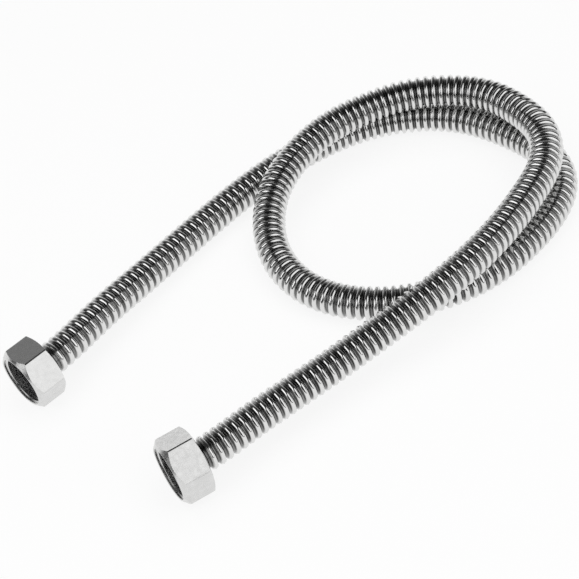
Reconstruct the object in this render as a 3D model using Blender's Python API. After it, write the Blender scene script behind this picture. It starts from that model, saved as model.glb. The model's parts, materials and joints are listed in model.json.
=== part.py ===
"""A corrugated metal gas hose with a loose union nut at each end, lying in a loop of one and a half turns.

Metres, +Z up. The hose lies on the plane z = 0, and the origin is under the middle of it.
"""

import math

import bmesh
import bpy
import numpy as np
from mathutils import Matrix, Vector

MM = 0.001

# The corrugated tube
CREST_DIAMETER = 17.6 * MM
ROOT_DIAMETER = 13.4 * MM
BORE_DIAMETER = 11.6 * MM
FRONT_PITCH = 4.2 * MM
REAR_PITCH = 4.8 * MM
HOSE_SIDES = 9
BORE_SAG = 0.3 * MM

# The rolled sealing flange that ends the tube inside each nut
FLANGE_DIAMETER = 22.4 * MM
FLANGE_THICKNESS = 1.2 * MM
NECK_LENGTH = 1.4 * MM

# The union nut, for a 3/4 inch pipe thread
NUT_ACROSS_FLATS = 30.0 * MM
NUT_LENGTH = 16.4 * MM
NUT_BACK_WALL = 3.0 * MM
MOUTH_INSET = 0.9 * MM
MOUTH_CHAMFER = math.radians(42)
BACK_INSET = 0.4 * MM
BACK_CHAMFER = math.radians(22)
THREAD_DIAMETER = 24.4 * MM
LEAD_IN_DIAMETER = 27.4 * MM
LEAD_IN_DEPTH = 1.4 * MM
NUT_FACE_STEPS = 4
FRONT_TURN = math.radians(-7)
REAR_TURN = math.radians(-24)

# The flat sealing washer that lies on the flange
GASKET_INNER_DIAMETER = 13.4 * MM
GASKET_THICKNESS = 2.0 * MM
GASKET_SIDES = 20

# Clearances between pieces
SEAT_GAP = 0.3 * MM
NUT_RUNNING_GAP = 0.6 * MM
GASKET_SIDE_GAP = 0.5 * MM
STRAND_GAP = 0.5 * MM

# The directions in which the two ends point, out of the nuts' mouths, as angles about +Z
FRONT_HEADING = math.radians(-158.5)
REAR_HEADING = math.radians(-146.1)

# The route of the hose from the back of the front nut to the back of the rear nut: x and y in
# hundredths of LOOP_SIZE, and the lift, which is 0 on the floor and 1 on top of another strand.
LOOP_SIZE = 100.0 * MM
FRONT_END = (-65.0, -102.0)
REAR_END = (-133.0, -18.5)
ROUTE = [
    (-38.5, -88.0, 0.46),
    (-3.5, -70.0, 0.48),
    (33.0, -52.5, 0.63),
    (69.0, -35.5, 0.92),
    (104.5, -9.5, 1.05),
    (121.5, 8.5, 1.06),
    (137.0, 31.5, 1.03),
    (141.0, 55.5, 1.01),
    (134.5, 75.0, 1.0),
    (120.0, 94.5, 1.0),
    (100.0, 105.0, 1.0),
    (78.5, 108.5, 1.0),
    (56.5, 106.0, 0.96),
    (34.5, 99.0, 0.89),
    (15.0, 86.5, 0.75),
    (-1.0, 68.5, 0.54),
    (-9.5, 44.5, 0.29),
    (-8.0, 19.0, 0.1),
    (4.0, -3.5, 0.01),
    (21.0, -17.5, 0.0),
    (59.5, -26.5, 0.0),
    (98.0, -16.5, 0.0),
    (116.5, -4.0, 0.0),
    (134.0, 13.0, 0.0),
    (145.0, 34.5, 0.0),
    (142.5, 58.0, 0.0),
    (128.0, 81.0, 0.0),
    (107.5, 100.5, 0.0),
    (63.5, 113.0, 0.0),
    (15.5, 101.0, 0.0),
    (-30.0, 73.0, 0.0),
    (-49.0, 58.0, 0.01),
    (-67.0, 42.5, 0.06),
    (-84.5, 26.5, 0.16),
    (-101.5, 10.5, 0.28),
    (-118.0, -6.0, 0.36),
]
PATH_STEP = 1.0 * MM

# Colours, roughness and metallic value of the materials
STEEL = ((0.62, 0.62, 0.61, 1.0), 0.3, 1.0)
NICKEL = ((0.72, 0.71, 0.69, 1.0), 0.25, 1.0)
FIBRE = ((0.09, 0.09, 0.1, 1.0), 0.75, 0.0)


def clear_scene():
    for obj in list(bpy.data.objects):
        bpy.data.objects.remove(obj, do_unlink=True)


def nut_corner_radius():
    return NUT_ACROSS_FLATS / 2 / math.cos(math.radians(30))


def nut_axis_height(turn):
    """The height of a nut's axis when its lowest corner touches the floor."""
    return nut_corner_radius() * math.cos(turn)


def flange_face_depth():
    """How far the flange's sealing face lies inside the nut, from the nut's back face."""
    return NUT_BACK_WALL + SEAT_GAP + FLANGE_THICKNESS


def heading_vector(angle):
    return np.array((math.cos(angle), math.sin(angle), 0.0))


def route_points():
    """The hand-chosen points of the centreline, in metres, with each lift turned into a height."""
    unit = LOOP_SIZE / 100
    points = [(FRONT_END[0] * unit, FRONT_END[1] * unit, nut_axis_height(FRONT_TURN))]
    for x, y, lift in ROUTE:
        height = CREST_DIAMETER / 2 + lift * (CREST_DIAMETER + STRAND_GAP)
        points.append((x * unit, y * unit, height))
    points.append((REAR_END[0] * unit, REAR_END[1] * unit, nut_axis_height(REAR_TURN)))
    return np.array(points)


def spline_slopes(points, spans, first_slope, last_slope):
    """The slopes at the points that give the smoothest cubic curve between two fixed end slopes."""
    count = len(points)
    matrix = np.zeros((count, count))
    target = np.zeros((count, 3))
    matrix[0, 0] = 1.0
    matrix[-1, -1] = 1.0
    target[0] = first_slope
    target[-1] = last_slope
    for i in range(1, count - 1):
        before = 1 / spans[i - 1]
        after = 1 / spans[i]
        matrix[i, i - 1] = before
        matrix[i, i] = 2 * (before + after)
        matrix[i, i + 1] = after
        target[i] = 3 * before**2 * (points[i] - points[i - 1])
        target[i] += 3 * after**2 * (points[i + 1] - points[i])
    return np.linalg.solve(matrix, target)


def smooth_curve(points, first_slope, last_slope):
    """Closely spaced points on the cubic curve through the given ones."""
    spans = np.linalg.norm(np.diff(points, axis=0), axis=1)
    slopes = spline_slopes(points, spans, first_slope, last_slope)
    curve = []
    for i, span in enumerate(spans):
        for t in np.linspace(0.0, 1.0, max(2, round(span / PATH_STEP)), endpoint=False):
            start = (2 * t**3 - 3 * t**2 + 1) * points[i] + span * (t**3 - 2 * t**2 + t) * slopes[i]
            end = (3 * t**2 - 2 * t**3) * points[i + 1] + span * (t**3 - t**2) * slopes[i + 1]
            curve.append(start + end)
    curve.append(points[-1])
    return np.array(curve)


class Centreline:
    """The hose's middle line from one sealing face to the other, with a frame that doesn't twist."""

    def __init__(self):
        front = heading_vector(FRONT_HEADING)
        rear = heading_vector(REAR_HEADING)
        curve = smooth_curve(route_points(), -front, rear)
        first = curve[0] + front * flange_face_depth()
        last = curve[-1] + rear * flange_face_depth()
        self.points = np.vstack((first, curve, last))
        steps = np.diff(self.points, axis=0)
        lengths = np.linalg.norm(steps, axis=1)
        self.distances = np.concatenate(((0.0,), np.cumsum(lengths)))
        ways = steps / lengths[:, None]
        self.ways = np.vstack((ways[0], ways[:-1] + ways[1:], ways[-1]))
        self.ways /= np.linalg.norm(self.ways, axis=1)[:, None]
        self.sides = self.untwisted_sides()
        self.length = self.distances[-1]

    def untwisted_sides(self):
        sides = []
        side = np.array((0.0, 0.0, 1.0))
        for way in self.ways:
            side = side - way * np.dot(side, way)
            side = side / np.linalg.norm(side)
            sides.append(side)
        return np.array(sides)

    def at(self, distance):
        """The point, direction and side direction at a distance along the hose."""
        values = []
        for table in (self.points, self.ways, self.sides):
            values.append([np.interp(distance, self.distances, table[:, axis]) for axis in range(3)])
        point, way, side = (Vector(value) for value in values)
        way.normalize()
        side = (side - way * side.dot(way)).normalized()
        return point, way, side

    def ring(self, distance, radius, sides):
        """The corners of one ring of the tube."""
        point, way, side = self.at(distance)
        corners = []
        for i in range(sides):
            angle = 2 * math.pi * i / sides
            corners.append(point + radius * (Matrix.Rotation(angle, 3, way) @ side))
        return corners


def solid_from_rings(name, rings, material):
    """A closed ring-shaped solid whose skin runs from each ring of corners to the next and back."""
    mesh = bmesh.new()
    loops = [[mesh.verts.new(corner) for corner in ring] for ring in rings]
    for i, loop in enumerate(loops):
        following = loops[(i + 1) % len(loops)]
        for j, vertex in enumerate(loop):
            k = (j + 1) % len(loop)
            mesh.faces.new((vertex, following[j], following[k], loop[k]))
    bmesh.ops.recalc_face_normals(mesh, faces=mesh.faces[:])
    if mesh.calc_volume(signed=True) < 0:
        bmesh.ops.reverse_faces(mesh, faces=mesh.faces[:])
    data = bpy.data.meshes.new(name)
    mesh.to_mesh(data)
    mesh.free()
    data.shade_smooth()
    data.set_sharp_from_angle(angle=math.radians(35))
    data.materials.append(material)
    obj = bpy.data.objects.new(name, data)
    bpy.context.scene.collection.objects.link(obj)
    return obj


def make_material(name, look):
    colour, roughness, metallic = look
    material = bpy.data.materials.new(name)
    material.use_nodes = True
    shader = material.node_tree.nodes["Principled BSDF"]
    shader.inputs["Base Color"].default_value = colour
    shader.inputs["Roughness"].default_value = roughness
    shader.inputs["Metallic"].default_value = metallic
    return material


def root_places(start, end):
    """Distances of the roots. The pitch grows with the cube of the distance, as the rear end is stretched."""
    growth = REAR_PITCH / FRONT_PITCH - 1
    mean_pitch = FRONT_PITCH * (1 + growth / 4)
    count = round((end - start) / mean_pitch)
    share = np.arange(count + 1) / count
    return start + (end - start) * (share + growth * share**4 / 4) / (1 + growth / 4)


def corrugations(start, end):
    """Distances and radii of the roots and crests, from one neck to the other."""
    roots = root_places(start, end)
    rings = [(start, ROOT_DIAMETER / 2)]
    for before, after in zip(roots, roots[1:]):
        rings.append(((before + after) / 2, CREST_DIAMETER / 2))
        rings.append((after, ROOT_DIAMETER / 2))
    return rings


def bore_stations(line):
    """Distances of the bore's rings, close together where the hose bends so that its wall stays even."""
    stations = [0.0]
    _, way, _ = line.at(0.0)
    for distance in np.arange(FRONT_PITCH, line.length - FRONT_PITCH, FRONT_PITCH):
        _, here, _ = line.at(distance)
        if (distance - stations[-1]) * way.angle(here) / 8 > BORE_SAG:
            stations.append(distance)
            way = here
    stations.append(line.length)
    return stations


def corrugated_hose(line):
    """The bellows tube with a flat flange rolled at each end and a bore right through."""
    flange = FLANGE_DIAMETER / 2
    neck_start = FLANGE_THICKNESS
    neck_end = FLANGE_THICKNESS + NECK_LENGTH
    profile = [(0.0, flange), (neck_start, flange), (neck_start, ROOT_DIAMETER / 2)]
    profile += corrugations(neck_end, line.length - neck_end)
    profile += [(line.length - neck_start, ROOT_DIAMETER / 2)]
    profile += [(line.length - neck_start, flange), (line.length, flange)]
    rings = [line.ring(distance, radius, HOSE_SIDES) for distance, radius in profile]
    for distance in reversed(bore_stations(line)):
        rings.append(line.ring(distance, BORE_DIAMETER / 2, HOSE_SIDES))
    return solid_from_rings("corrugated_hose", rings, make_material("corrugated_steel", STEEL))


def round_ring(radius, height, sides):
    corners = []
    for i in range(sides):
        angle = 2 * math.pi * i / sides
        corners.append(Vector((radius * math.cos(angle), radius * math.sin(angle), height)))
    return corners


def hexagon_ring(end_height, inward, inset, chamfer):
    """The line where the cone that is turned on a nut's end meets the six flats."""
    flat = NUT_ACROSS_FLATS / 2
    corners = []
    for i in range(6 * NUT_FACE_STEPS):
        angle = 2 * math.pi * i / (6 * NUT_FACE_STEPS)
        off_middle = (angle % math.radians(60)) - math.radians(30)
        reach = flat / math.cos(off_middle)
        drop = (reach - flat + inset) * math.tan(chamfer)
        corners.append(Vector((reach * math.cos(angle), reach * math.sin(angle), end_height + inward * drop)))
    return corners


def union_nut(name, material_name):
    """A hexagon nut along +Z from its back face, with a stepped bore: a hole for the hose, then the socket."""
    sides = 6 * NUT_FACE_STEPS
    back_radius = NUT_ACROSS_FLATS / 2 - BACK_INSET
    mouth_radius = NUT_ACROSS_FLATS / 2 - MOUTH_INSET
    hole_radius = CREST_DIAMETER / 2 + NUT_RUNNING_GAP
    thread_radius = THREAD_DIAMETER / 2
    rings = [
        round_ring(back_radius, 0.0, sides),
        hexagon_ring(0.0, 1, BACK_INSET, BACK_CHAMFER),
        hexagon_ring(NUT_LENGTH, -1, MOUTH_INSET, MOUTH_CHAMFER),
        round_ring(mouth_radius, NUT_LENGTH, sides),
        round_ring(LEAD_IN_DIAMETER / 2, NUT_LENGTH, sides),
        round_ring(thread_radius, NUT_LENGTH - LEAD_IN_DEPTH, sides),
        round_ring(thread_radius, NUT_BACK_WALL, sides),
        round_ring(hole_radius, NUT_BACK_WALL, sides),
        round_ring(hole_radius, 0.0, sides),
    ]
    return solid_from_rings(name, rings, make_material(material_name, NICKEL))


def flat_gasket(name, material_name):
    """A flat washer along +Z from the face that lies on the flange."""
    outer = THREAD_DIAMETER / 2 - GASKET_SIDE_GAP
    inner = GASKET_INNER_DIAMETER / 2
    rings = [
        round_ring(inner, 0.0, GASKET_SIDES),
        round_ring(outer, 0.0, GASKET_SIDES),
        round_ring(outer, GASKET_THICKNESS, GASKET_SIDES),
        round_ring(inner, GASKET_THICKNESS, GASKET_SIDES),
    ]
    return solid_from_rings(name, rings, make_material(material_name, FIBRE))


def place_on_end(obj, point, heading, turn, forward):
    """Sets an object's +Z along the end's heading, its +X up, turned about its axis and moved forward."""
    out = Vector(heading_vector(heading))
    up = Vector((0.0, 0.0, 1.0))
    axes = Matrix((up, out.cross(up), out)).transposed().to_4x4()
    spot = Matrix.Translation(Vector(point) + out * forward)
    obj.matrix_world = spot @ axes @ Matrix.Rotation(turn, 4, "Z")


def fit_end(label, point, heading, turn):
    """One end's nut and washer, set on the hose's axis there."""
    nut = union_nut(label + "_union_nut", label + "_nickel")
    place_on_end(nut, point, heading, turn, 0.0)
    gasket = flat_gasket(label + "_gasket", label + "_fibre")
    place_on_end(gasket, point, heading, 0.0, flange_face_depth() + SEAT_GAP)


def main():
    clear_scene()
    corrugated_hose(Centreline())
    points = route_points()
    fit_end("front", points[0], FRONT_HEADING, FRONT_TURN)
    fit_end("rear", points[-1], REAR_HEADING, REAR_TURN)


main()
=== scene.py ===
# %% [markdown]
# # A corrugated metal gas hose, made to look real
#
# The object is a flexible stainless steel tube with about 250 rolled corrugations. It lies on a white
# floor in one and a half turns, and a loose hexagon union nut hangs on each end. The working solids
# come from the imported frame. This lesson makes the surfaces that a camera sees: the thin bellows
# wall, the threads in the nuts, the sealing washers and the bright metal finishes.

# %% Load the frame
import json
import math

import bmesh
import bpy
import numpy as np
from mathutils import Matrix, Vector


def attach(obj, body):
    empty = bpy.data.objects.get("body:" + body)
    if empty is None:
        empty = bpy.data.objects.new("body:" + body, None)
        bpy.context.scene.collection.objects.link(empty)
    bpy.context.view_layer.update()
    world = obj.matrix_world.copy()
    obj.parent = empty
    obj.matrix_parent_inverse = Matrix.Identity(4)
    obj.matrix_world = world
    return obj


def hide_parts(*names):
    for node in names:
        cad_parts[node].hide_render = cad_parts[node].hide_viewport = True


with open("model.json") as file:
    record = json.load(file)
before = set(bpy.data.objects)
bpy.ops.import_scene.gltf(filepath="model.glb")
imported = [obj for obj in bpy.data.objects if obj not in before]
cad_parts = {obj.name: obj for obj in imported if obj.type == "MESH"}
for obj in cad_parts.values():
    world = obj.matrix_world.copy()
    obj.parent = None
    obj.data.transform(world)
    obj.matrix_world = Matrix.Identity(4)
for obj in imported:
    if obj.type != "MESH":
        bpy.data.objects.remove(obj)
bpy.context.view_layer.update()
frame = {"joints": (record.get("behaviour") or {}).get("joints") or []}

MM = 0.001
joints = {joint["name"]: joint for joint in frame["joints"]}

# %% [markdown]
# ## The camera
#
# The photograph looks down on the hose at 45 degrees through a long lens, and the camera was tilted a
# little to one side, so level lines rise to the right. A camera's own axes are easier to write down
# than its Euler angles: the view direction is level ahead and straight down in equal parts, and the
# roll turns the right and up directions about it.

# %% Place the camera
PHOTO_SIDE_PX = 579
SENSOR_WIDTH = 36.0
FOCAL_LENGTH_PX = 1700.0
CAMERA_ELEVATION = math.radians(45)
CAMERA_ROLL = math.radians(13)
CAMERA_PLACE = Vector((-6.5, -613.0, 622.2)) * MM


def make_camera():
    data = bpy.data.cameras.new("photo_camera")
    data.sensor_width = SENSOR_WIDTH
    data.lens = SENSOR_WIDTH * FOCAL_LENGTH_PX / PHOTO_SIDE_PX
    data.clip_start = 10 * MM
    data.clip_end = 20.0
    camera = bpy.data.objects.new("photo_camera", data)
    bpy.context.scene.collection.objects.link(camera)
    ahead = Vector((0, math.cos(CAMERA_ELEVATION), -math.sin(CAMERA_ELEVATION)))
    level_right = Vector((1, 0, 0))
    level_up = level_right.cross(ahead)
    right = math.cos(CAMERA_ROLL) * level_right - math.sin(CAMERA_ROLL) * level_up
    up = math.sin(CAMERA_ROLL) * level_right + math.cos(CAMERA_ROLL) * level_up
    turned = Matrix((right, up, -ahead)).transposed().to_4x4()
    camera.matrix_world = Matrix.Translation(CAMERA_PLACE) @ turned
    bpy.context.scene.camera = camera
    return camera


camera = make_camera()
print("lens:", round(camera.data.lens, 1), "mm")

# %% [markdown]
# ## The route of the hose
#
# A hose keeps its length, so its route is settled before its skin. The points below were chosen
# along the middle of the hose, from the back of the front nut to the back of the rear nut. The
# third number is a lift: 0 where the hose lies on the floor and 1 where it lies on another strand.
# A clamped cubic spline goes through them. It is the curve that a springy tube takes when its two
# ends are held in line with the nuts, and it has no sudden change of bend.

# %% The route's points
CREST_DIAMETER = 17.6 * MM
STRAND_GAP = 0.5 * MM
ROUTE = [
    (-38.5, -88.0, 0.46),
    (-3.5, -70.0, 0.48),
    (33.0, -52.5, 0.63),
    (69.0, -35.5, 0.92),
    (104.5, -9.5, 1.05),
    (121.5, 8.5, 1.06),
    (137.0, 31.5, 1.03),
    (141.0, 55.5, 1.01),
    (134.5, 75.0, 1.0),
    (120.0, 94.5, 1.0),
    (100.0, 105.0, 1.0),
    (78.5, 108.5, 1.0),
    (56.5, 106.0, 0.96),
    (34.5, 99.0, 0.89),
    (15.0, 86.5, 0.75),
    (-1.0, 68.5, 0.54),
    (-9.5, 44.5, 0.29),
    (-8.0, 19.0, 0.1),
    (4.0, -3.5, 0.01),
    (21.0, -17.5, 0.0),
    (59.5, -26.5, 0.0),
    (98.0, -16.5, 0.0),
    (116.5, -4.0, 0.0),
    (134.0, 13.0, 0.0),
    (145.0, 34.5, 0.0),
    (142.5, 58.0, 0.0),
    (128.0, 81.0, 0.0),
    (107.5, 100.5, 0.0),
    (63.5, 113.0, 0.0),
    (15.5, 101.0, 0.0),
    (-30.0, 73.0, 0.0),
    (-49.0, 58.0, 0.01),
    (-67.0, 42.5, 0.06),
    (-84.5, 26.5, 0.16),
    (-101.5, 10.5, 0.28),
    (-118.0, -6.0, 0.36),
]

# %% [markdown]
# ## A curve through the points
#
# Blender's own curve objects could hold this route, but the bellows needs the position and direction
# at every ring, so the spline is worked out here. Between two points it is a cubic with a slope at
# each end, and the slopes come from one small set of linear equations that makes the bend continuous.

# %% The spline
CURVE_STEP = 1.0 * MM


def joint_place(name):
    """Where a nut's axis leaves the nut's back face, and its direction out of the mouth."""
    joint = joints[name]
    return np.array(joint["pos_m"]), np.array(joint["axis"]) / np.linalg.norm(joint["axis"])


def route_points():
    front, _ = joint_place("front_nut_spin")
    rear, _ = joint_place("rear_nut_spin")
    middle = []
    for x, y, lift in ROUTE:
        height = CREST_DIAMETER / 2 + lift * (CREST_DIAMETER + STRAND_GAP)
        middle.append((x * MM, y * MM, height))
    return np.vstack((front, middle, rear))


def spline_slopes(points, spans, first_slope, last_slope):
    count = len(points)
    matrix = np.eye(count)
    target = np.zeros((count, 3))
    target[0] = first_slope
    target[-1] = last_slope
    for i in range(1, count - 1):
        before = 1 / spans[i - 1]
        after = 1 / spans[i]
        matrix[i, i - 1 : i + 2] = (before, 2 * (before + after), after)
        target[i] = 3 * before**2 * (points[i] - points[i - 1])
        target[i] += 3 * after**2 * (points[i + 1] - points[i])
    return np.linalg.solve(matrix, target)


def smooth_curve(points, first_slope, last_slope):
    spans = np.linalg.norm(np.diff(points, axis=0), axis=1)
    slopes = spline_slopes(points, spans, first_slope, last_slope)
    curve = []
    for i, span in enumerate(spans):
        for t in np.linspace(0.0, 1.0, max(2, round(span / CURVE_STEP)), endpoint=False):
            start = (2 * t**3 - 3 * t**2 + 1) * points[i] + span * (t**3 - 2 * t**2 + t) * slopes[i]
            end = (3 * t**2 - 2 * t**3) * points[i + 1] + span * (t**3 - t**2) * slopes[i + 1]
            curve.append(start + end)
    curve.append(points[-1])
    return np.array(curve)


# %% [markdown]
# ## From one sealing face to the other
#
# Inside each nut the tube runs on straight to a flat flange, the face that seals. The middle line is
# therefore the spline with one straight step added at each end. Each point also gets a side
# direction, carried along without twist, so that a straight model can be bent onto the line later.

# %% The middle line with its frames
NUT_BACK_WALL = 3.0 * MM
SEAT_GAP = 0.3 * MM
FLANGE_THICKNESS = 1.2 * MM
FLANGE_FACE_DEPTH = NUT_BACK_WALL + SEAT_GAP + FLANGE_THICKNESS


def hose_line():
    front, front_out = joint_place("front_nut_spin")
    rear, rear_out = joint_place("rear_nut_spin")
    curve = smooth_curve(route_points(), -front_out, rear_out)
    first = front + front_out * FLANGE_FACE_DEPTH
    last = rear + rear_out * FLANGE_FACE_DEPTH
    points = np.vstack((first, curve, last))
    steps = np.diff(points, axis=0)
    lengths = np.linalg.norm(steps, axis=1)
    ways = steps / lengths[:, None]
    ways = np.vstack((ways[0], ways[:-1] + ways[1:], ways[-1]))
    ways /= np.linalg.norm(ways, axis=1)[:, None]
    sides = []
    side = np.array((0.0, 0.0, 1.0))
    for way in ways:
        side = side - way * np.dot(side, way)
        side = side / np.linalg.norm(side)
        sides.append(side)
    distances = np.concatenate(((0.0,), np.cumsum(lengths)))
    return points, ways, np.array(sides), distances


line_points, line_ways, line_sides, line_distances = hose_line()
HOSE_LENGTH = line_distances[-1]
print("hose length between sealing faces:", round(HOSE_LENGTH, 4), "m")


def bend_onto_line(coordinates):
    """Moves points of a straight model, whose axis is +Z, onto the hose's line."""
    along = coordinates[:, 2]
    tables = []
    for table in (line_points, line_ways, line_sides):
        columns = [np.interp(along, line_distances, table[:, axis]) for axis in range(3)]
        tables.append(np.stack(columns, axis=1))
    point, way, side = tables
    way /= np.linalg.norm(way, axis=1)[:, None]
    side -= way * (side * way).sum(axis=1)[:, None]
    side /= np.linalg.norm(side, axis=1)[:, None]
    third = np.cross(way, side)
    return point + coordinates[:, 0:1] * side + coordinates[:, 1:2] * third


# %% [markdown]
# ## One corrugation
#
# A rolled bellows wall is a row of rounded crests and slightly tighter rounded valleys. Along the
# tube its section is made of half ellipses that meet where the wall stands upright. The same rule
# with a wall thickness taken off gives the inside of the tube, so the hose is a true thin wall. Such a
# hose can be stretched, and this one is, toward its rear end: its pitch grows there.

# %% The bellows section
FRONT_PITCH = 4.2 * MM
REAR_PITCH = 4.8 * MM
CORRUGATION_DEPTH = 2.1 * MM
CREST_SHARE = 0.6
WALL_THICKNESS = 0.35 * MM
FLANGE_RADIUS = 11.2 * MM
FLANGE_EDGE = 0.25 * MM
NECK_LENGTH = 1.4 * MM
OUTSIDE_STEPS = (2, 4)
INSIDE_STEPS = (2, 2)


def corrugation(pitch, wall, valley_steps, crest_steps):
    """Distances and radii from the bottom of one valley up to, but without, the next one's bottom."""
    crest_half = CREST_SHARE * pitch / 2
    valley_half = pitch / 2 - crest_half
    valley_height = CORRUGATION_DEPTH * (1 - CREST_SHARE)
    crest_height = CORRUGATION_DEPTH * CREST_SHARE
    middle = CREST_DIAMETER / 2 - crest_height
    section = []
    for i in range(valley_steps):
        angle = math.pi / 2 * i / valley_steps
        reach = (valley_half + wall) * math.sin(angle)
        section.append((reach, middle - (valley_height + wall) * math.cos(angle)))
    for i in range(crest_steps):
        angle = math.pi * i / crest_steps
        reach = (crest_half - wall) * math.cos(angle)
        section.append((pitch / 2 - reach, middle + (crest_height - wall) * math.sin(angle)))
    for i in range(valley_steps):
        angle = math.pi / 2 * (1 - i / valley_steps)
        reach = (valley_half + wall) * math.sin(angle)
        section.append((pitch - reach, middle - (valley_height + wall) * math.cos(angle)))
    return section


def root_places(start, end):
    """Distances of the valleys' bottoms. The pitch grows with the cube of the distance."""
    growth = REAR_PITCH / FRONT_PITCH - 1
    mean_pitch = FRONT_PITCH * (1 + growth / 4)
    count = round((end - start) / mean_pitch)
    share = np.arange(count + 1) / count
    return start + (end - start) * (share + growth * share**4 / 4) / (1 + growth / 4)


def corrugated_run(start, end, wall, valley_steps, crest_steps):
    run = []
    roots = root_places(start, end)
    for before, after in zip(roots, roots[1:]):
        section = corrugation(after - before, wall, valley_steps, crest_steps)
        run += [(before + along, radius) for along, radius in section]
    run.append((end, section[0][1]))
    return run


def hose_section():
    """The closed section of the whole hose, straightened: over the outside and back through the bore."""
    root = CREST_DIAMETER / 2 - CORRUGATION_DEPTH
    neck = FLANGE_THICKNESS + NECK_LENGTH
    end = HOSE_LENGTH
    flange = [
        (0.0, root - WALL_THICKNESS),
        (0.0, FLANGE_RADIUS - FLANGE_EDGE),
        (FLANGE_EDGE, FLANGE_RADIUS),
        (FLANGE_THICKNESS - FLANGE_EDGE, FLANGE_RADIUS),
        (FLANGE_THICKNESS, FLANGE_RADIUS - FLANGE_EDGE),
        (FLANGE_THICKNESS, root + FLANGE_EDGE),
        (FLANGE_THICKNESS + FLANGE_EDGE, root),
    ]
    outside = flange + corrugated_run(neck, end - neck, 0.0, *OUTSIDE_STEPS)
    outside += [(end - along, radius) for along, radius in reversed(flange)]
    inside = corrugated_run(neck, end - neck, WALL_THICKNESS, *INSIDE_STEPS)
    return outside + inside[::-1]


section = hose_section()
print("points in the hose's section:", len(section))

# %% [markdown]
# ## Turning the straight hose and bending it
#
# The section is turned once about its axis with a spin, as a lathe would make it. While the tube is
# still straight, its UV map is easy: round the tube and along it. The groove attribute remembers how
# deep in a valley each point lies, for the material. Only then is the tube bent onto its line.
#
# A spin lists its edges and faces in another order each time that Blender runs. They are sorted by
# the numbers of their vertices, so that the script makes the same mesh every time.

# %% Make the bellows
HOSE_SEGMENTS = 28
SHARP_DEGREES = 30
BELLOWS_SHARP_DEGREES = 70


def sort_by_vertices(mesh):
    """Puts the edges and the faces of a bmesh in one fixed order."""
    mesh.verts.index_update()
    count = len(mesh.verts)

    def place(element):
        numbers = sorted(vertex.index for vertex in element.verts) + [0]
        return float((numbers[0] * count + numbers[1]) * count + numbers[2])

    mesh.edges.sort(key=place)
    mesh.faces.sort(key=place)


def spun_section(points, segments):
    """A bmesh with a closed loop of (along, radius) points turned about +Z."""
    mesh = bmesh.new()
    corners = [mesh.verts.new((radius, 0.0, along)) for along, radius in points]
    for i, corner in enumerate(corners):
        mesh.edges.new((corner, corners[(i + 1) % len(corners)]))
    bmesh.ops.spin(
        mesh,
        geom=mesh.verts[:] + mesh.edges[:],
        cent=(0, 0, 0),
        axis=(0, 0, 1),
        dvec=(0, 0, 0),
        angle=math.tau,
        steps=segments,
        use_merge=True,
        use_duplicate=False,
    )
    sort_by_vertices(mesh)
    bmesh.ops.recalc_face_normals(mesh, faces=mesh.faces[:])
    if mesh.calc_volume(signed=True) < 0:
        bmesh.ops.reverse_faces(mesh, faces=mesh.faces[:])
    return mesh


def wrap_uv(mesh):
    """A UV map in metres for a shape turned about +Z: round it and along it."""
    layer = mesh.loops.layers.uv.new("around_along")
    for face in mesh.faces:
        angles = [math.atan2(loop.vert.co.y, loop.vert.co.x) for loop in face.loops]
        crosses_seam = max(angles) - min(angles) > math.pi
        for loop, angle in zip(face.loops, angles):
            if crosses_seam and angle < 0:
                angle += math.tau
            loop[layer].uv = (angle * CREST_DIAMETER / 2, loop.vert.co.z)


def link_mesh(name, mesh, sharp_degrees=SHARP_DEGREES):
    """A scene object from a finished bmesh, shaded smooth except at its sharp edges."""
    data = bpy.data.meshes.new(name)
    mesh.to_mesh(data)
    mesh.free()
    data.shade_smooth()
    data.set_sharp_from_angle(angle=math.radians(sharp_degrees))
    piece = bpy.data.objects.new(name, data)
    bpy.context.scene.collection.objects.link(piece)
    return piece


def make_hose():
    mesh = spun_section(section, HOSE_SEGMENTS)
    wrap_uv(mesh)
    hose = link_mesh("bellows_tube", mesh, BELLOWS_SHARP_DEGREES)
    data = hose.data
    straight = np.empty(len(data.vertices) * 3)
    data.vertices.foreach_get("co", straight)
    straight = straight.reshape(-1, 3)
    radii = np.hypot(straight[:, 0], straight[:, 1])
    groove = np.clip((CREST_DIAMETER / 2 - radii) / CORRUGATION_DEPTH, 0.0, 1.0)
    data.attributes.new("groove", "FLOAT", "POINT").data.foreach_set("value", groove.astype(np.float32))
    data.vertices.foreach_set("co", bend_onto_line(straight).astype(np.float32).ravel())
    data.update()
    return hose


hose = make_hose()
print("bellows tube:", len(hose.data.polygons), "faces")

# %% [markdown]
# ## The turned blank of a union nut
#
# A union nut is cut from hexagon bar. It is turned first: a steep cone at the mouth and a shallow one
# at the back leave scalloped corners on the flats, the back wall gets a plain hole for the hose, and
# the socket gets a thread behind a short counterbore. The same two shapes are made here, a turned
# blank and a piece of hexagon bar, and what they share is the nut. The blank's skin is one spin,
# left open where the thread will join it.

# %% The blank's outside
NUT_ACROSS_FLATS = 30.0 * MM
NUT_LENGTH = 16.4 * MM
MOUTH_INSET = 0.9 * MM
MOUTH_CHAMFER = math.radians(42)
BACK_INSET = 0.4 * MM
BACK_CHAMFER = math.radians(22)
NUT_HOLE_RADIUS = 9.4 * MM
SOCKET_RADIUS = 12.2 * MM
LEAD_IN_RADIUS = 13.7 * MM
COUNTERBORE_RADIUS = 13.35 * MM
COUNTERBORE_DEPTH = 1.2 * MM
EDGE_BREAK = 0.25 * MM
BEYOND_CORNERS = 4.0 * MM
SAME_HEIGHT = 0.001 * MM
NUT_SEGMENTS = 96


def loop_edges(mesh, height):
    """The open edges of a bmesh that lie at one height."""
    found = []
    for edge in mesh.edges:
        level = all(abs(vertex.co.z - height) < SAME_HEIGHT for vertex in edge.verts)
        if edge.is_boundary and level:
            found.append(edge)
    return found


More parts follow.
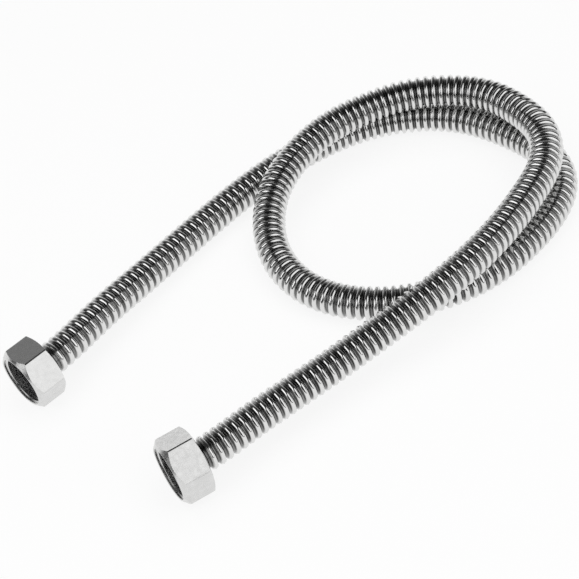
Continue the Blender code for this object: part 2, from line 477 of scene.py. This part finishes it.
def add_blank_skin(mesh):
    """The turned skin from the socket's floor, round the back and the outside, to the mouth."""
    back_radius = NUT_ACROSS_FLATS / 2 - BACK_INSET
    mouth_radius = NUT_ACROSS_FLATS / 2 - MOUTH_INSET
    beyond = NUT_ACROSS_FLATS / 2 + BEYOND_CORNERS
    back_cone = (beyond - back_radius) * math.tan(BACK_CHAMFER)
    mouth_cone = (beyond - mouth_radius) * math.tan(MOUTH_CHAMFER)
    section = [
        (SOCKET_RADIUS, NUT_BACK_WALL),
        (NUT_HOLE_RADIUS + EDGE_BREAK, NUT_BACK_WALL),
        (NUT_HOLE_RADIUS, NUT_BACK_WALL - EDGE_BREAK),
        (NUT_HOLE_RADIUS, EDGE_BREAK),
        (NUT_HOLE_RADIUS + EDGE_BREAK, 0.0),
        (back_radius, 0.0),
        (beyond, back_cone),
        (beyond, NUT_LENGTH - mouth_cone),
        (mouth_radius, NUT_LENGTH),
        (LEAD_IN_RADIUS, NUT_LENGTH),
        (COUNTERBORE_RADIUS, NUT_LENGTH - EDGE_BREAK),
        (COUNTERBORE_RADIUS, NUT_LENGTH - COUNTERBORE_DEPTH),
    ]
    corners = [mesh.verts.new((radius, 0.0, height)) for radius, height in section]
    edges = [mesh.edges.new(pair) for pair in zip(corners, corners[1:])]
    bmesh.ops.spin(
        mesh,
        geom=corners + edges,
        cent=(0, 0, 0),
        axis=(0, 0, 1),
        dvec=(0, 0, 0),
        angle=math.tau,
        steps=NUT_SEGMENTS,
        use_merge=True,
        use_duplicate=False,
    )
    sort_by_vertices(mesh)


# %% [markdown]
# ## The thread
#
# A spin can also climb while it turns. One thread groove, a short zigzag as tall as the pitch, is spun
# through several turns and rises by one pitch in each, so every turn joins the one below it. The
# helix starts and ends outside the socket, and two flat cuts trim it to length. The two rims that the
# cuts leave are then bridged to the blank, which gives the step under the counterbore, the relief at
# the bottom of the thread, and a closed solid.

# %% The thread in the socket
THREAD_PITCH = 1.814 * MM
THREAD_DEPTH = 1.0 * MM
THREAD_STEPS = 48
THREAD_WELD = 0.002 * MM
CUT_TOLERANCE = 0.001 * MM
THREAD_START_DEPTH = 1.4 * MM
THREAD_RELIEF = 1.0 * MM
THREAD_SPARE = 1.5 * THREAD_PITCH
THREAD_GROOVE = [(0.0, 0.0), (0.12, 0.0), (0.46, 1.0), (0.66, 1.0), (1.0, 0.0)]


def add_thread(mesh):
    """The thread's skin between two heights, which it returns."""
    bottom = NUT_BACK_WALL + THREAD_RELIEF
    top = NUT_LENGTH - THREAD_START_DEPTH
    turns = math.ceil((top - bottom) / THREAD_PITCH) + 2
    start = bottom - THREAD_SPARE
    corners = []
    for share, depth in THREAD_GROOVE:
        radius = SOCKET_RADIUS + depth * THREAD_DEPTH
        corners.append(mesh.verts.new((radius, 0.0, start + share * THREAD_PITCH)))
    edges = [mesh.edges.new(pair) for pair in zip(corners, corners[1:])]
    bmesh.ops.spin(
        mesh,
        geom=corners + edges,
        cent=(0, 0, 0),
        axis=(0, 0, 1),
        dvec=(0, 0, THREAD_PITCH / THREAD_STEPS),
        angle=math.tau * turns,
        steps=THREAD_STEPS * turns,
        use_merge=False,
        use_duplicate=False,
    )
    sort_by_vertices(mesh)
    bmesh.ops.remove_doubles(mesh, verts=mesh.verts[:], dist=THREAD_WELD)
    for height, way in ((bottom, -1), (top, 1)):
        sort_by_vertices(mesh)
        bmesh.ops.bisect_plane(
            mesh,
            geom=mesh.verts[:] + mesh.edges[:] + mesh.faces[:],
            dist=CUT_TOLERANCE,
            plane_co=(0, 0, height),
            plane_no=(0, 0, way),
            clear_outer=True,
            clear_inner=False,
        )
    return bottom, top


def turned_blank():
    """The blank as a closed solid, with the thread joined to its skin."""
    thread = bmesh.new()
    bottom, top = add_thread(thread)
    sort_by_vertices(thread)
    helix = bpy.data.meshes.new("helix")
    thread.to_mesh(helix)
    thread.free()
    mesh = bmesh.new()
    add_blank_skin(mesh)
    mesh.from_mesh(helix)
    bpy.data.meshes.remove(helix)
    for near, far in ((NUT_BACK_WALL, bottom), (NUT_LENGTH - COUNTERBORE_DEPTH, top)):
        bmesh.ops.bridge_loops(mesh, edges=loop_edges(mesh, near) + loop_edges(mesh, far))
    sort_by_vertices(mesh)
    bmesh.ops.recalc_face_normals(mesh, faces=mesh.faces[:])
    if mesh.calc_volume(signed=True) < 0:
        bmesh.ops.reverse_faces(mesh, faces=mesh.faces[:])
    return mesh


# %% [markdown]
# ## The hexagon bar and the finished nut
#
# The bar is a six-sided prism, longer than the nut. A bevel gives its long edges a narrow flat,
# because a nut's corners are never razor sharp. An exact Boolean keeps what lies in both the bar
# and the blank. The result is moved to the hose's end: its own +Z becomes the joint's axis, and its
# corners are turned to the angle at which the nut lies in the photograph.

# %% Make the two nuts
CORNER_FLAT = 0.45 * MM
HALF_SIDE = math.radians(30)
NUT_SHARP_DEGREES = 25
NUT_TURNS = {"front": math.radians(-7), "rear": math.radians(-24)}


def hexagon_bar(name):
    mesh = bmesh.new()
    corner_radius = NUT_ACROSS_FLATS / 2 / math.cos(HALF_SIDE)
    bmesh.ops.create_cone(
        mesh,
        cap_ends=True,
        cap_tris=False,
        segments=6,
        radius1=corner_radius,
        radius2=corner_radius,
        depth=NUT_LENGTH * 2,
    )
    bmesh.ops.translate(mesh, verts=mesh.verts[:], vec=(0, 0, NUT_LENGTH / 2))
    flat_first = Matrix.Rotation(HALF_SIDE, 3, "Z")
    bmesh.ops.rotate(mesh, verts=mesh.verts[:], cent=(0, 0, 0), matrix=flat_first)
    long_edges = []
    for edge in mesh.edges:
        if abs(edge.verts[0].co.z - edge.verts[1].co.z) > NUT_LENGTH:
            long_edges.append(edge)
    bmesh.ops.bevel(
        mesh,
        geom=long_edges,
        offset=CORNER_FLAT,
        offset_type="OFFSET",
        segments=1,
        profile=0.5,
        affect="EDGES",
        material=-1,
    )
    return link_mesh(name, mesh)


def end_matrix(label, forward=0.0):
    """Sets +Z along the nut's axis out of its mouth and +X up, then moves along the axis."""
    point, out = (Vector(value) for value in joint_place(label + "_nut_spin"))
    up = Vector((0, 0, 1))
    axes = Matrix((up, out.cross(up), out)).transposed().to_4x4()
    return Matrix.Translation(point + out * forward) @ axes


def keep_evaluated(piece):
    """Replaces a piece's mesh with what its modifiers make of it."""
    graph = bpy.context.evaluated_depsgraph_get()
    finished = bpy.data.meshes.new_from_object(piece.evaluated_get(graph))
    piece.modifiers.clear()
    old = piece.data
    piece.data = finished
    bpy.data.meshes.remove(old)


def make_nut(label):
    nut = link_mesh(label + "_nut_body", turned_blank())
    bar = hexagon_bar(label + "_bar")
    common = nut.modifiers.new("hexagon", "BOOLEAN")
    common.operation = "INTERSECT"
    common.object = bar
    keep_evaluated(nut)
    bpy.data.objects.remove(bar)
    nut.data.transform(end_matrix(label) @ Matrix.Rotation(NUT_TURNS[label], 4, "Z"))
    nut.data.shade_smooth()
    nut.data.set_sharp_from_angle(angle=math.radians(NUT_SHARP_DEGREES))
    return nut


nuts = {label: make_nut(label) for label in ("front", "rear")}
for label, nut in nuts.items():
    print(label, "nut:", len(nut.data.polygons), "faces")

# %% [markdown]
# ## The sealing washers
#
# A flat washer lies on each flange. It is cut from sealing fibre, so its edges are only slightly
# rounded. Its section is a rectangle with broken corners, turned once about the axis.

# %% Make the washers
GASKET_INNER_RADIUS = 6.7 * MM
GASKET_OUTER_RADIUS = 11.7 * MM
GASKET_THICKNESS = 2.0 * MM
GASKET_EDGE = 0.2 * MM
GASKET_SEGMENTS = 64


def make_gasket(label):
    inner, outer, thick, edge = GASKET_INNER_RADIUS, GASKET_OUTER_RADIUS, GASKET_THICKNESS, GASKET_EDGE
    section = [
        (edge, inner),
        (0.0, inner + edge),
        (0.0, outer - edge),
        (edge, outer),
        (thick - edge, outer),
        (thick, outer - edge),
        (thick, inner + edge),
        (thick - edge, inner),
    ]
    gasket = link_mesh(label + "_sealing_washer", spun_section(section, GASKET_SEGMENTS))
    gasket.data.transform(end_matrix(label, FLANGE_FACE_DEPTH + SEAT_GAP))
    return gasket


gaskets = {label: make_gasket(label) for label in ("front", "rear")}

# %% [markdown]
# ## Shared surface effects
#
# Real metal is never one even value. Two small node groups hold the effects that more than one
# material uses. The first is a soft unevenness: noise that moves a value up and down between two
# limits. The second is a grain: very fine noise, stretched one way, that goes into a bump.

# %% Node helpers
def add_node(tree, kind, place, **settings):
    node = tree.nodes.new(kind)
    node.location = place
    for key, value in settings.items():
        setattr(node, key, value)
    return node


def new_group(name, inputs, outputs):
    """A shader node group with named sockets and its two end nodes."""
    group = bpy.data.node_groups.new(name, "ShaderNodeTree")
    for label, kind, value in inputs:
        socket = group.interface.new_socket(name=label, in_out="INPUT", socket_type=kind)
        if value is not None:
            socket.default_value = value
    for label, kind in outputs:
        group.interface.new_socket(name=label, in_out="OUTPUT", socket_type=kind)
    start = add_node(group, "NodeGroupInput", (-800, 0))
    end = add_node(group, "NodeGroupOutput", (600, 0))
    return group, start, end


# %% The unevenness group
def unevenness_group():
    inputs = [
        ("Vector", "NodeSocketVector", None),
        ("Scale", "NodeSocketFloat", 60.0),
        ("Low", "NodeSocketFloat", 0.2),
        ("High", "NodeSocketFloat", 0.3),
    ]
    group, start, end = new_group("soft_unevenness", inputs, [("Value", "NodeSocketFloat")])
    noise = add_node(group, "ShaderNodeTexNoise", (-500, 0))
    noise.inputs["Detail"].default_value = 4.0
    noise.inputs["Roughness"].default_value = 0.6
    spread = add_node(group, "ShaderNodeMapRange", (-200, 0))
    spread.inputs["From Min"].default_value = 0.3
    spread.inputs["From Max"].default_value = 0.7
    group.links.new(start.outputs["Vector"], noise.inputs["Vector"])
    group.links.new(start.outputs["Scale"], noise.inputs["Scale"])
    group.links.new(noise.outputs["Fac"], spread.inputs["Value"])
    group.links.new(start.outputs["Low"], spread.inputs["To Min"])
    group.links.new(start.outputs["High"], spread.inputs["To Max"])
    group.links.new(spread.outputs["Result"], end.inputs["Value"])
    return group


UNEVENNESS = unevenness_group()


# %% The grain group
def grain_group():
    inputs = [
        ("Vector", "NodeSocketVector", None),
        ("Stretch", "NodeSocketVector", (1.0, 1.0, 1.0)),
        ("Scale", "NodeSocketFloat", 900.0),
    ]
    group, start, end = new_group("fine_grain", inputs, [("Height", "NodeSocketFloat")])
    stretch = add_node(group, "ShaderNodeVectorMath", (-500, 0), operation="MULTIPLY")
    noise = add_node(group, "ShaderNodeTexNoise", (-200, 0))
    noise.inputs["Detail"].default_value = 3.0
    group.links.new(start.outputs["Vector"], stretch.inputs[0])
    group.links.new(start.outputs["Stretch"], stretch.inputs[1])
    group.links.new(stretch.outputs["Vector"], noise.inputs["Vector"])
    group.links.new(start.outputs["Scale"], noise.inputs["Scale"])
    group.links.new(noise.outputs["Fac"], end.inputs["Height"])
    return group


GRAIN = grain_group()
print("node groups:", UNEVENNESS.name, GRAIN.name)

# %% [markdown]
# ## Bright steel for the bellows
#
# The tube's steel is drawn and rolled, so it is almost a mirror. What breaks the reflections up is
# its shape. The valleys are duller than the crests, which handling and rolling polish, and their
# colour is much darker: painted shade for the deep valleys. The groove attribute drives both that
# painted shade and the roughness. The painted shade is uneven and runs round the tube in rings, and
# so do the fine lines that the rolls left.

# %% Steel
STEEL_CREST = (0.74, 0.74, 0.735, 1.0)
# Painted shade: the valley colour is far darker than the crest colour and stands in for the shade in the
# deep valleys.
PAINTED_VALLEY_SHADE = (0.075, 0.075, 0.074, 1.0)
PAINTED_SHADE_START = 0.25
PAINTED_SHADE_END = 0.8
SHADE_RING_STRETCH = (0.25, 1.0, 1.0)
ROLLED_LINES = (0.06, 1.0, 1.0)
VALLEY_DULLNESS = 0.16


def new_material(name):
    material = bpy.data.materials.new(name)
    material.use_nodes = True
    tree = material.node_tree
    shader = tree.nodes["Principled BSDF"]
    shader.location = (300, 0)
    return material, tree, shader


def place_group(tree, group, place, **values):
    node = add_node(tree, "ShaderNodeGroup", place, node_tree=group)
    for label, value in values.items():
        node.inputs[label].default_value = value
    return node


def bellows_steel():
    material, tree, shader = new_material("bellows_steel")
    shader.inputs["Metallic"].default_value = 1.0
    groove = add_node(tree, "ShaderNodeAttribute", (-900, 200), attribute_name="groove")
    around = add_node(tree, "ShaderNodeUVMap", (-900, -200), uv_map="around_along")
    colour = add_node(tree, "ShaderNodeMix", (-100, 200), data_type="RGBA")
    colour.inputs["A"].default_value = STEEL_CREST
    colour.inputs["B"].default_value = PAINTED_VALLEY_SHADE
    rings = add_node(tree, "ShaderNodeVectorMath", (-800, 500), operation="MULTIPLY")
    rings.inputs[1].default_value = SHADE_RING_STRETCH
    # Uneven painted shade, stretched into rings round the tube.
    uneven_shade = place_group(tree, UNEVENNESS, (-600, 500), Scale=200.0, Low=0.66, High=1.0)
    polish = place_group(tree, UNEVENNESS, (-600, 0), Scale=70.0, Low=0.08, High=0.14)
    duller = add_node(tree, "ShaderNodeMath", (-100, 0), operation="MULTIPLY_ADD")
    duller.inputs[1].default_value = VALLEY_DULLNESS
    grain = place_group(tree, GRAIN, (-600, -200), Stretch=ROLLED_LINES, Scale=4000.0)
    bump = add_node(tree, "ShaderNodeBump", (-100, -200))
    bump.inputs["Strength"].default_value = 0.06
    bump.inputs["Distance"].default_value = 0.02 * MM
    # The groove depth sets how much painted shade each point of a valley gets.
    dark = add_node(tree, "ShaderNodeMapRange", (-500, 250), interpolation_type="SMOOTHSTEP")
    dark.inputs["From Min"].default_value = PAINTED_SHADE_START
    dark.inputs["From Max"].default_value = PAINTED_SHADE_END
    share = add_node(tree, "ShaderNodeMath", (-300, 400), operation="MULTIPLY")
    tree.links.new(groove.outputs["Fac"], dark.inputs["Value"])
    tree.links.new(around.outputs["UV"], rings.inputs[0])
    tree.links.new(rings.outputs["Vector"], uneven_shade.inputs["Vector"])
    tree.links.new(uneven_shade.outputs["Value"], share.inputs[0])
    tree.links.new(dark.outputs["Result"], share.inputs[1])
    tree.links.new(share.outputs["Value"], colour.inputs["Factor"])
    tree.links.new(colour.outputs["Result"], shader.inputs["Base Color"])
    tree.links.new(around.outputs["UV"], polish.inputs["Vector"])
    tree.links.new(groove.outputs["Fac"], duller.inputs[0])
    tree.links.new(polish.outputs["Value"], duller.inputs[2])
    tree.links.new(duller.outputs["Value"], shader.inputs["Roughness"])
    tree.links.new(around.outputs["UV"], grain.inputs["Vector"])
    tree.links.new(grain.outputs["Height"], bump.inputs["Height"])
    tree.links.new(bump.outputs["Normal"], shader.inputs["Normal"])
    return material


# %% [markdown]
# ## Plated nuts
#
# The nuts are bright plated, softer in gloss than the tube. Their plating lies on bar that was
# tumbled, which leaves a faint orange-peel and a slightly mottled shine. The flats have it too.

# %% Nickel plate
NICKEL_LIGHT = (0.73, 0.73, 0.725, 1.0)
NICKEL_DULL = (0.66, 0.66, 0.655, 1.0)


def plated_nickel():
    material, tree, shader = new_material("plated_nickel")
    shader.inputs["Metallic"].default_value = 1.0
    place = add_node(tree, "ShaderNodeTexCoord", (-900, 0))
    mottle = place_group(tree, UNEVENNESS, (-600, 200), Scale=350.0, Low=0.0, High=1.0)
    colour = add_node(tree, "ShaderNodeMix", (-100, 200), data_type="RGBA")
    colour.inputs["A"].default_value = NICKEL_LIGHT
    colour.inputs["B"].default_value = NICKEL_DULL
    shine = place_group(tree, UNEVENNESS, (-600, 0), Scale=500.0, Low=0.2, High=0.3)
    peel = place_group(tree, GRAIN, (-600, -200), Scale=1100.0)
    bump = add_node(tree, "ShaderNodeBump", (-100, -200))
    bump.inputs["Strength"].default_value = 0.15
    bump.inputs["Distance"].default_value = 0.03 * MM
    for node in (mottle, shine, peel):
        tree.links.new(place.outputs["Object"], node.inputs["Vector"])
    tree.links.new(mottle.outputs["Value"], colour.inputs["Factor"])
    tree.links.new(colour.outputs["Result"], shader.inputs["Base Color"])
    tree.links.new(shine.outputs["Value"], shader.inputs["Roughness"])
    tree.links.new(peel.outputs["Height"], bump.inputs["Height"])
    tree.links.new(bump.outputs["Normal"], shader.inputs["Normal"])
    return material


# %% [markdown]
# ## Sealing fibre
#
# The washers are pressed fibre: matt, dark grey, with lighter flecks of filler. They are only seen
# deep in the sockets, but a washer with one flat colour would look like a hole.

# %% Fibre
FIBRE_DARK = (0.055, 0.055, 0.06, 1.0)
FIBRE_FLECK = (0.16, 0.16, 0.165, 1.0)


def sealing_fibre():
    material, tree, shader = new_material("sealing_fibre")
    place = add_node(tree, "ShaderNodeTexCoord", (-900, 0))
    flecks = place_group(tree, UNEVENNESS, (-600, 200), Scale=1500.0, Low=-0.6, High=1.0)
    colour = add_node(tree, "ShaderNodeMix", (-100, 200), data_type="RGBA")
    colour.inputs["A"].default_value = FIBRE_DARK
    colour.inputs["B"].default_value = FIBRE_FLECK
    shine = place_group(tree, UNEVENNESS, (-600, 0), Scale=700.0, Low=0.6, High=0.8)
    felt = place_group(tree, GRAIN, (-600, -200), Scale=2200.0)
    bump = add_node(tree, "ShaderNodeBump", (-100, -200))
    bump.inputs["Strength"].default_value = 0.5
    bump.inputs["Distance"].default_value = 0.05 * MM
    for node in (flecks, shine, felt):
        tree.links.new(place.outputs["Object"], node.inputs["Vector"])
    tree.links.new(flecks.outputs["Value"], colour.inputs["Factor"])
    tree.links.new(colour.outputs["Result"], shader.inputs["Base Color"])
    tree.links.new(shine.outputs["Value"], shader.inputs["Roughness"])
    tree.links.new(felt.outputs["Height"], bump.inputs["Height"])
    tree.links.new(bump.outputs["Normal"], shader.inputs["Normal"])
    return material


# %% [markdown]
# ## Dress the pieces and hang them on the frame
#
# Each new piece takes its material and the body that it moves with, and the working solid that it
# stands for is hidden.

# %% Assign materials and bodies
def dress(piece, material, body, node):
    piece.data.materials.clear()
    piece.data.materials.append(material)
    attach(piece, body)
    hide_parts(node)


dress(hose, bellows_steel(), "hose", "corrugated_hose")
nickel = plated_nickel()
fibre = sealing_fibre()
for label in ("front", "rear"):
    dress(nuts[label], nickel, label + "_nut", label + "_union_nut")
    dress(gaskets[label], fibre, "hose", label + "_gasket")

# %% [markdown]
# ## Floor and light
#
# The photograph is a product shot on a white table. Polished metal shows its surroundings, so what
# matters is what stands around it: the white table below, its white far edge on the horizon, a dark
# room above that, and two large softboxes, one to the left and one to the right of the camera. The
# camera stands in the dark gap between them, and each crest shows both boxes with that gap between.

# %% The white table
FLOOR_SIZE = 6.0
FLOOR_DROP = 0.05 * MM
WHITE = (0.9, 0.9, 0.9, 1.0)
FLOOR_GLOW = 0.86


def make_floor():
    """A white floor. Camera and mirror rays see it mostly at full white, and the shadow stays on it."""
    mesh = bmesh.new()
    bmesh.ops.create_grid(mesh, x_segments=1, y_segments=1, size=FLOOR_SIZE / 2)
    floor = link_mesh("floor", mesh)
    floor.location.z = -FLOOR_DROP
    material, tree, shader = new_material("white_floor")
    shader.inputs["Base Color"].default_value = WHITE
    shader.inputs["Roughness"].default_value = 0.7
    shader.inputs["Specular IOR Level"].default_value = 0.1
    path = add_node(tree, "ShaderNodeLightPath", (-400, 400))
    mirrors = add_node(tree, "ShaderNodeMath", (-200, 400), operation="MAXIMUM")
    seen = add_node(tree, "ShaderNodeMath", (0, 400), operation="MAXIMUM")
    share = add_node(tree, "ShaderNodeMath", (200, 400), operation="MULTIPLY")
    share.inputs[1].default_value = FLOOR_GLOW
    glow = add_node(tree, "ShaderNodeEmission", (300, 200))
    mix = add_node(tree, "ShaderNodeMixShader", (600, 200))
    output = tree.nodes["Material Output"]
    output.location = (800, 200)
    tree.links.new(path.outputs["Is Glossy Ray"], mirrors.inputs[0])
    tree.links.new(path.outputs["Is Transmission Ray"], mirrors.inputs[1])
    tree.links.new(path.outputs["Is Camera Ray"], seen.inputs[0])
    tree.links.new(mirrors.outputs["Value"], seen.inputs[1])
    tree.links.new(seen.outputs["Value"], share.inputs[0])
    tree.links.new(share.outputs["Value"], mix.inputs["Fac"])
    tree.links.new(shader.outputs["BSDF"], mix.inputs[1])
    tree.links.new(glow.outputs["Emission"], mix.inputs[2])
    tree.links.new(mix.outputs["Shader"], output.inputs["Surface"])
    floor.data.materials.append(material)


make_floor()

# %% [markdown]
# ## The room
#
# The world gives the room by direction. A ramp over height makes the far side fall from white at the
# horizon to dark above, and a second factor keeps that white to the far side, away from the camera.

# %% The room
ROOM_DARK = 0.03
FAR_SIDE = (-0.14, 0.99, 0.0)
FAR_START = 0.34
FAR_END = 0.9
FAR_STOPS = [(0.0, 1.25), (0.14, 0.9), (0.3, 0.35), (0.5, 0.24), (0.75, 0.19)]


def make_world():
    world = bpy.data.worlds.new("studio")
    bpy.context.scene.world = world
    world.use_nodes = True
    tree = world.node_tree
    background = tree.nodes["Background"]
    place = add_node(tree, "ShaderNodeTexCoord", (-900, 0))
    split = add_node(tree, "ShaderNodeSeparateXYZ", (-700, -100))
    ramp = add_node(tree, "ShaderNodeValToRGB", (-500, -100))
    elements = ramp.color_ramp.elements
    while len(elements) < len(FAR_STOPS):
        elements.new(0.5)
    for element, (position, grey) in zip(elements, FAR_STOPS):
        element.position = position
        element.color = (grey, grey, grey, 1.0)
    facing = add_node(tree, "ShaderNodeVectorMath", (-700, 200), operation="DOT_PRODUCT")
    facing.inputs[1].default_value = FAR_SIDE
    share = add_node(tree, "ShaderNodeMapRange", (-500, 200), interpolation_type="SMOOTHSTEP")
    share.inputs["From Min"].default_value = FAR_START
    share.inputs["From Max"].default_value = FAR_END
    room = add_node(tree, "ShaderNodeMix", (-200, 0), data_type="RGBA")
    room.inputs["A"].default_value = (ROOM_DARK, ROOM_DARK, ROOM_DARK, 1.0)
    tree.links.new(place.outputs["Generated"], split.inputs["Vector"])
    tree.links.new(split.outputs["Z"], ramp.inputs["Fac"])
    tree.links.new(place.outputs["Generated"], facing.inputs[0])
    tree.links.new(facing.outputs["Value"], share.inputs["Value"])
    tree.links.new(share.outputs["Result"], room.inputs["Factor"])
    tree.links.new(ramp.outputs["Color"], room.inputs["B"])
    tree.links.new(room.outputs["Result"], background.inputs["Color"])
    background.inputs["Strength"].default_value = 1.0


make_world()

# %% [markdown]
# ## The lamps
#
# A softbox is given by the way it lies from the hose, its size as an angle, and how bright it looks.
# Its power follows, because a lamp of area A that looks as bright as L gives pi times L times A watts.
# A wide lamp overhead lights only the table: the metal doesn't mirror it.

# %% The lamps
LAMP_DISTANCE = 1.5


def softbox(name, azimuth, elevation, wide, high, brightness):
    """A lamp at an azimuth and an elevation, and so many degrees wide and high."""
    azimuth, elevation = math.radians(azimuth), math.radians(elevation)
    level = math.cos(elevation)
    away = Vector((level * math.cos(azimuth), level * math.sin(azimuth), math.sin(elevation)))
    width = 2 * LAMP_DISTANCE * math.tan(math.radians(wide / 2))
    height = 2 * LAMP_DISTANCE * math.tan(math.radians(high / 2))
    data = bpy.data.lights.new(name, "AREA")
    data.shape = "RECTANGLE"
    data.size = width
    data.size_y = height
    data.energy = math.pi * brightness * width * height
    lamp = bpy.data.objects.new(name, data)
    bpy.context.scene.collection.objects.link(lamp)
    lamp.location = LAMP_DISTANCE * away
    lamp.rotation_euler = away.to_track_quat("Z", "Y").to_euler()
    lamp.visible_camera = False
    return lamp


softbox("left_box", azimuth=202, elevation=35, wide=40, high=40, brightness=1.45)
softbox("right_box", azimuth=316, elevation=34, wide=60, high=60, brightness=1.12)
table_lamp = softbox("table_lamp", azimuth=90, elevation=89, wide=70, high=70, brightness=1.6)
table_lamp.visible_glossy = False

# %% [markdown]
# ## Finish
#
# The render has to look as written, so the view transform is Standard.

# %% Finish
bpy.context.scene.view_settings.view_transform = "Standard"
